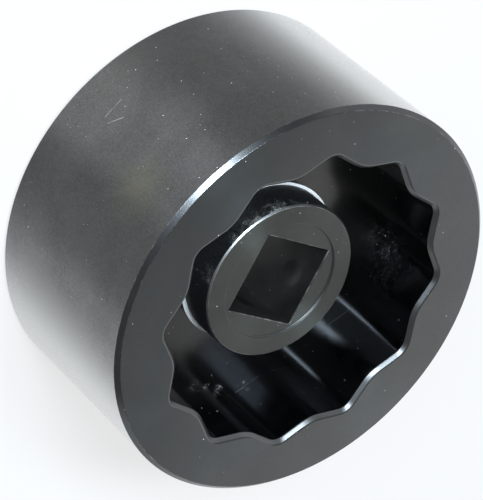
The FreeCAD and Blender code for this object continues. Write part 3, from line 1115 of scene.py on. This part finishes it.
def film_weight(tree, texture, oxide, oil, film_depth, painted_shade_dimming, covered):
    """Weight of the oil: uneven, thinner in the bands of painted shade, and gone under dust,
    painted patches and scratches.
    """
    film = place_group(tree, oil_film, Grain=texture["Grain"], Tone=oxide["Tone"],
                       Mottle=oxide["Mottle"], Oil=oil, Depth=film_depth)["Film"]
    film = calc(tree, "MULTIPLY", film, painted_shade_dimming)
    return calc(tree, "MULTIPLY", film, calc(tree, "SUBTRACT", 1.0, covered))


def blackened_steel(name, colour, roughness, *, grain_depth, grain_size, cloud_depth,
                    dust_share, rubbed, pit_share=0.1, blue_tint=0.0, brown_tint=0.0,
                    grain_wear_and_shading=0.0, oil=0.0, film_depth=0.5, turned=0.0, reflection_colour=None,
                    painted_shade_bands=(), stains=(), dust_and_glint_patches=(), scratches=()):
    """A dark oxide over steel, with its own amounts of each shared effect."""
    material, tree = new_material(name)
    place = tree.nodes.new("ShaderNodeTexCoord").outputs["Object"]
    edge = tree.nodes.new("ShaderNodeAttribute")
    edge.attribute_name = "edge"
    texture = place_group(tree, grain, Position=place, Grain_Size=grain_size,
                          Pit_Size=grain_size * PIT_TO_GRAIN, Pit_Share=pit_share)
    oxide = place_group(tree, clouds, Position=place)
    bare = place_group(tree, rubbing, Position=place, Edge=edge.outputs["Fac"],
                       Amount=rubbed)["Bare"]
    specks = dust_and_glint_mask(tree, place, texture, oxide, dust_share, dust_and_glint_patches)
    marks = scratch_mask(tree, place, scratches)
    painted_shade_dimming = painted_shade_band_mask(tree, place, painted_shade_bands)

    tone = oxide_tone(tree, texture, oxide, colour, cloud_depth, blue_tint, brown_tint,
                      grain_wear_and_shading)
    tone = blend_colour(tree, bare, tone, BARE_STEEL)
    # Light grey dust and grit; some grit patches are painted sheen and painted highlight.
    tone = blend_colour(tree, specks, tone, DUST_AND_GLINT_COLOUR)
    if scratches:
        faint = calc(tree, "MULTIPLY", marks, SCRATCH_AMOUNT)
        tone = blend_colour(tree, faint, tone, SCRATCH_COLOUR)
    tone = stained(tree, tone, place, oxide, stains)
    # The bands are painted shade: darker reflections at two bearings of the side.
    if painted_shade_bands:
        tone = blend_colour(tree, painted_shade_dimming, PAINTED_SHADE_COLOUR, tone)
    # A painted reflection: the colour turns light grey where the surface turns away.
    if reflection_colour:
        tone = painted_glancing_reflection(tree, tone, painted_shade_dimming, reflection_colour)

    uneven = min(UNEVEN_MOST, cloud_depth * UNEVEN_SHARE)
    shine = calc(tree, "MULTIPLY_ADD", oxide["Tone"], uneven, roughness - uneven / 2)
    shine = calc(tree, "ADD", shine, calc(tree, "MULTIPLY", specks, DUST_ROUGHNESS))
    bump = tree.nodes.new("ShaderNodeBump")
    bump.inputs["Distance"].default_value = grain_depth
    feed(tree, bump.inputs["Height"], texture["Height"])

    steel = tree.nodes.new("ShaderNodeBsdfPrincipled")
    feed(tree, steel.inputs["Base Color"], tone)
    feed(tree, steel.inputs["Roughness"], shine)
    feed(tree, steel.inputs["Metallic"], calc(tree, "SUBTRACT", 1.0, specks))
    feed(tree, steel.inputs["Normal"], bump.outputs["Normal"])
    steel.inputs["Coat Roughness"].default_value = COAT_ROUGHNESS
    steel.inputs["Coat IOR"].default_value = COAT_IOR
    if oil:
        covered = calc(tree, "MAXIMUM", specks, marks)
        film = film_weight(tree, texture, oxide, oil, film_depth, painted_shade_dimming, covered)
        feed(tree, steel.inputs["Coat Weight"], film)
    if turned:
        steel.inputs["Anisotropic"].default_value = turned
        steel.inputs["Anisotropic Rotation"].default_value = ROUND_THE_AXIS
        round_axis = tree.nodes.new("ShaderNodeTangent")
        round_axis.direction_type = "RADIAL"
        round_axis.axis = "Z"
        feed(tree, steel.inputs["Tangent"], round_axis.outputs[0])
    show(tree, steel)
    print("finish", name, "roughness", roughness)
    return material


# %% [markdown]
# ## The side
# The side is the roughest surface: turned, left coarse and pitted, and well oiled. Turning
# leaves fine grooves round the tool, which smear its highlights along the axis, so the shader
# is anisotropic with its tangent round the axis. The photograph shows two darker bands, which
# are painted here as shade, three thin scratches and one olive stain near the back, each
# listed below. Towards the outline the side's colour turns light grey, a painted reflection.

# %% Finish of the side
# Two bands of painted shade: (bearing, half width, strength).
SIDE_PAINTED_SHADE_BANDS = ((131.0, 29.0, 0.50), (190.0, 17.0, 0.45))
SIDE_STAINS = (((-0.0244, 0.0026, 0.0172), 0.0055, 0.8, (0.062, 0.060, 0.028)),)
SIDE_SCRATCHES = (
    ((-0.02385, 0.00563, 0.00633), (-0.02313, 0.00807, 0.00621)),
    ((-0.02394, 0.00521, 0.00730), (-0.02354, 0.00679, 0.00847)),
    ((-0.01179, 0.02148, 0.02160), (-0.01170, 0.02152, 0.02257)),
)
side_steel = blackened_steel(
    "pitted_side", (0.024, 0.024, 0.023), 0.27, grain_depth=0.000010, grain_size=0.00022,
    cloud_depth=0.30, dust_share=1.0, rubbed=0.12, blue_tint=0.3, brown_tint=0.5,
    grain_wear_and_shading=0.6, oil=1.0, film_depth=0.42, turned=0.9, reflection_colour=(0.50, 0.51, 0.50),
    painted_shade_bands=SIDE_PAINTED_SHADE_BANDS, stains=SIDE_STAINS, scratches=SIDE_SCRATCHES)

# %% [markdown]
# ## The mouth's face and its bevel
# The flat ring round the opening is finely turned and keeps an even film of oil, so it
# mirrors the room softly, with a blue-green cast. The narrow bevel outside it is a little
# lighter and dry, which draws the tool's bright outline.

# %% Finishes of the face and the bevel
face_steel = blackened_steel(
    "satin_face", (0.026, 0.037, 0.040), 0.28, grain_depth=0.000002, grain_size=0.0002,
    cloud_depth=0.15, dust_share=0.30, rubbed=0.12, blue_tint=0.5, turned=0.95, oil=1.0,
    film_depth=0.15)
bevel_steel = blackened_steel(
    "turned_bevel", (0.10, 0.105, 0.11), 0.24, grain_depth=0.000002, grain_size=0.0002,
    cloud_depth=0.10, dust_share=0.02, rubbed=0.12, blue_tint=0.3)

# %% [markdown]
# ## The opening
# The broach leaves smooth walls, so they are almost mirrors, and their bevel is lighter and
# duller. The floor is oily and mirrors the walls. Dust has gathered in its corners: each
# smudge is a ragged patch of grit, and neighbouring ones run into each other. One broad,
# faint patch high on the wall is painted sheen rather than dust.

# %% Finishes of the opening
DUST_SMUDGES_AND_SHEEN = (
    ((0.0148, 0.0084, 0.0160), 0.0034, 0.30),
    ((0.01326, 0.01063, 0.0164), 0.0007, 1.0),
    ((0.0149, 0.0082, 0.0154), 0.0010, 0.9),
    # This broad, faint patch is painted sheen on the wall.
    ((0.0153, 0.0064, 0.0180), 0.0050, 0.12),
    ((0.0066, -0.0157, 0.0147), 0.0011, 1.0),
    ((0.0050, -0.0162, 0.0146), 0.0009, 0.5),
    ((0.0098, -0.0139, 0.0150), 0.0010, 1.0),
    ((0.0030, -0.0167, 0.0146), 0.0014, 0.3),
)
opening_steel = blackened_steel(
    "broached_opening", (0.060, 0.064, 0.069), 0.22, grain_depth=0.000001, grain_size=0.00025,
    pit_share=0.0, cloud_depth=0.05, dust_share=0.5, rubbed=0.10, blue_tint=0.2,
    dust_and_glint_patches=DUST_SMUDGES_AND_SHEEN)
opening_bevel_steel = blackened_steel(
    "opening_bevel", (0.135, 0.14, 0.145), 0.34, grain_depth=0.000002, grain_size=0.00025,
    pit_share=0.0, cloud_depth=0.10, dust_share=0.3, rubbed=0.15)
floor_steel = blackened_steel(
    "opening_floor", (0.052, 0.053, 0.053), 0.20, grain_depth=0.000001, grain_size=0.00025,
    pit_share=0.0, cloud_depth=0.10, dust_share=0.6, rubbed=0.10, blue_tint=0.2, oil=0.70,
    film_depth=0.3, dust_and_glint_patches=DUST_SMUDGES_AND_SHEEN)

# %% [markdown]
# ## The hub and the drive hole
# The hub's face is turned and greyer than the mouth's, with a faint green cast. Its bevel and
# the wall of the relief are the lightest steel on the tool, almost bare. The hub's side is
# dull and coarse and dusty. On its upper band, which faces the camera and the lamps, patches
# of light grit specks are a painted speckled highlight. The hole is plain dull steel.

# %% Finishes of the hub
# Painted highlight: light grit specks on the hub side's upper band that faces the camera and
# lamps.
HUB_PAINTED_HIGHLIGHT_SPECKS = (
    ((-0.0096, 0.0027, 0.0198), 0.0024, 0.7),
    ((-0.0084, 0.0049, 0.0196), 0.0028, 1.0),
    ((-0.0066, 0.0072, 0.0196), 0.0027, 1.0),
    ((-0.0043, 0.0088, 0.0198), 0.0022, 0.6),
    ((-0.0093, -0.0030, 0.0188), 0.0022, 0.4),
)
hub_face_steel = blackened_steel(
    "hub_face", (0.066, 0.080, 0.072), 0.30, grain_depth=0.000003, grain_size=0.0002,
    cloud_depth=0.10, dust_share=0.5, rubbed=0.20, turned=0.95, oil=0.7)
hub_bevel_steel = blackened_steel(
    "hub_bevel", (0.24, 0.25, 0.255), 0.36, grain_depth=0.000006, grain_size=0.0002,
    cloud_depth=0.15, dust_share=0.6, rubbed=0.30)
hub_side_steel = blackened_steel(
    "hub_side", (0.10, 0.105, 0.108), 0.46, grain_depth=0.000030, grain_size=0.00022,
    pit_share=0.4, cloud_depth=0.15, dust_share=0.7, rubbed=0.30, blue_tint=0.3,
    grain_wear_and_shading=0.4, dust_and_glint_patches=HUB_PAINTED_HIGHLIGHT_SPECKS)
hole_steel = blackened_steel(
    "drive_hole", (0.105, 0.106, 0.106), 0.46, grain_depth=0.000005, grain_size=0.00025,
    pit_share=0.2, cloud_depth=0.3, dust_share=0.4, rubbed=0.10)

# %% [markdown]
# ## Bare braze
# The bead is bright and never was blackened. Fully metallic, it would mirror the dark steel
# round it and look black, so it is only slightly metallic, as a dulled, rippled surface is.
# Its near-white colour is partly a painted highlight along the bead, and the ripple crests
# are painted lighter as glints.

# %% Braze finish
BEAD_DARK = (0.86, 0.87, 0.87, 1)
BEAD_CREST_GLINT = (0.97, 0.97, 0.97, 1)
BEAD_METALLIC = 0.1
BEAD_DULL, BEAD_BRIGHT = 0.44, 0.30
RIPPLE_SIZE = 0.0006
RIPPLE_DEPTH = 0.00001
RIPPLE_SPREAD = (0.3, 0.7)

bead_painted_bright, tree = new_material("braze_painted_bright")
place = tree.nodes.new("ShaderNodeTexCoord").outputs["Object"]
ripples = noise(tree, place, RIPPLE_SIZE, detail=3.0, rough=0.6)
# Ripple crests are painted lighter, as glints.
painted_crest_glint = fade_between(tree, ripples, *RIPPLE_SPREAD)
dullness = fade_between(tree, ripples, *RIPPLE_SPREAD, BEAD_DULL, BEAD_BRIGHT)
bump = tree.nodes.new("ShaderNodeBump")
bump.inputs["Distance"].default_value = RIPPLE_DEPTH
feed(tree, bump.inputs["Height"], ripples)
metal = tree.nodes.new("ShaderNodeBsdfPrincipled")
metal.inputs["Metallic"].default_value = BEAD_METALLIC
feed(tree, metal.inputs["Base Color"], blend_colour(tree, painted_crest_glint, BEAD_DARK, BEAD_CREST_GLINT))
feed(tree, metal.inputs["Roughness"], dullness)
feed(tree, metal.inputs["Normal"], bump.outputs["Normal"])
show(tree, metal)
print("finish braze_painted_bright")

# %% [markdown]
# ## Together with the CAD model
# Each loop remembered the name of its finish, so the materials go on in the same order as
# those names. Then every mesh takes the place of its CAD solid. The tool has no joints, so
# all three ride on the root.

# %% Put the finishes on, and let each mesh stand for its CAD solid
FINISHES = {
    "side": side_steel,
    "face": face_steel,
    "bevel": bevel_steel,
    "opening": opening_steel,
    "opening_bevel": opening_bevel_steel,
    "floor": floor_steel,
    "hidden": opening_steel,
    "hub_face": hub_face_steel,
    "hub_bevel": hub_bevel_steel,
    "hub_side": hub_side_steel,
    "hole": hole_steel,
    "braze": bead_painted_bright,
}
for piece, names, node, slot in (
    (socket, socket_finishes, "socket_body", "socket_steel"),
    (hub, hub_finishes, "drive_hub", "hub_steel"),
    (braze, braze_finishes, "braze_ring", "braze"),
):
    for name in names:
        piece.data.materials.append(FINISHES[name])
    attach(piece, "root")
    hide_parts(node)
    print(piece.name, "stands for", node)
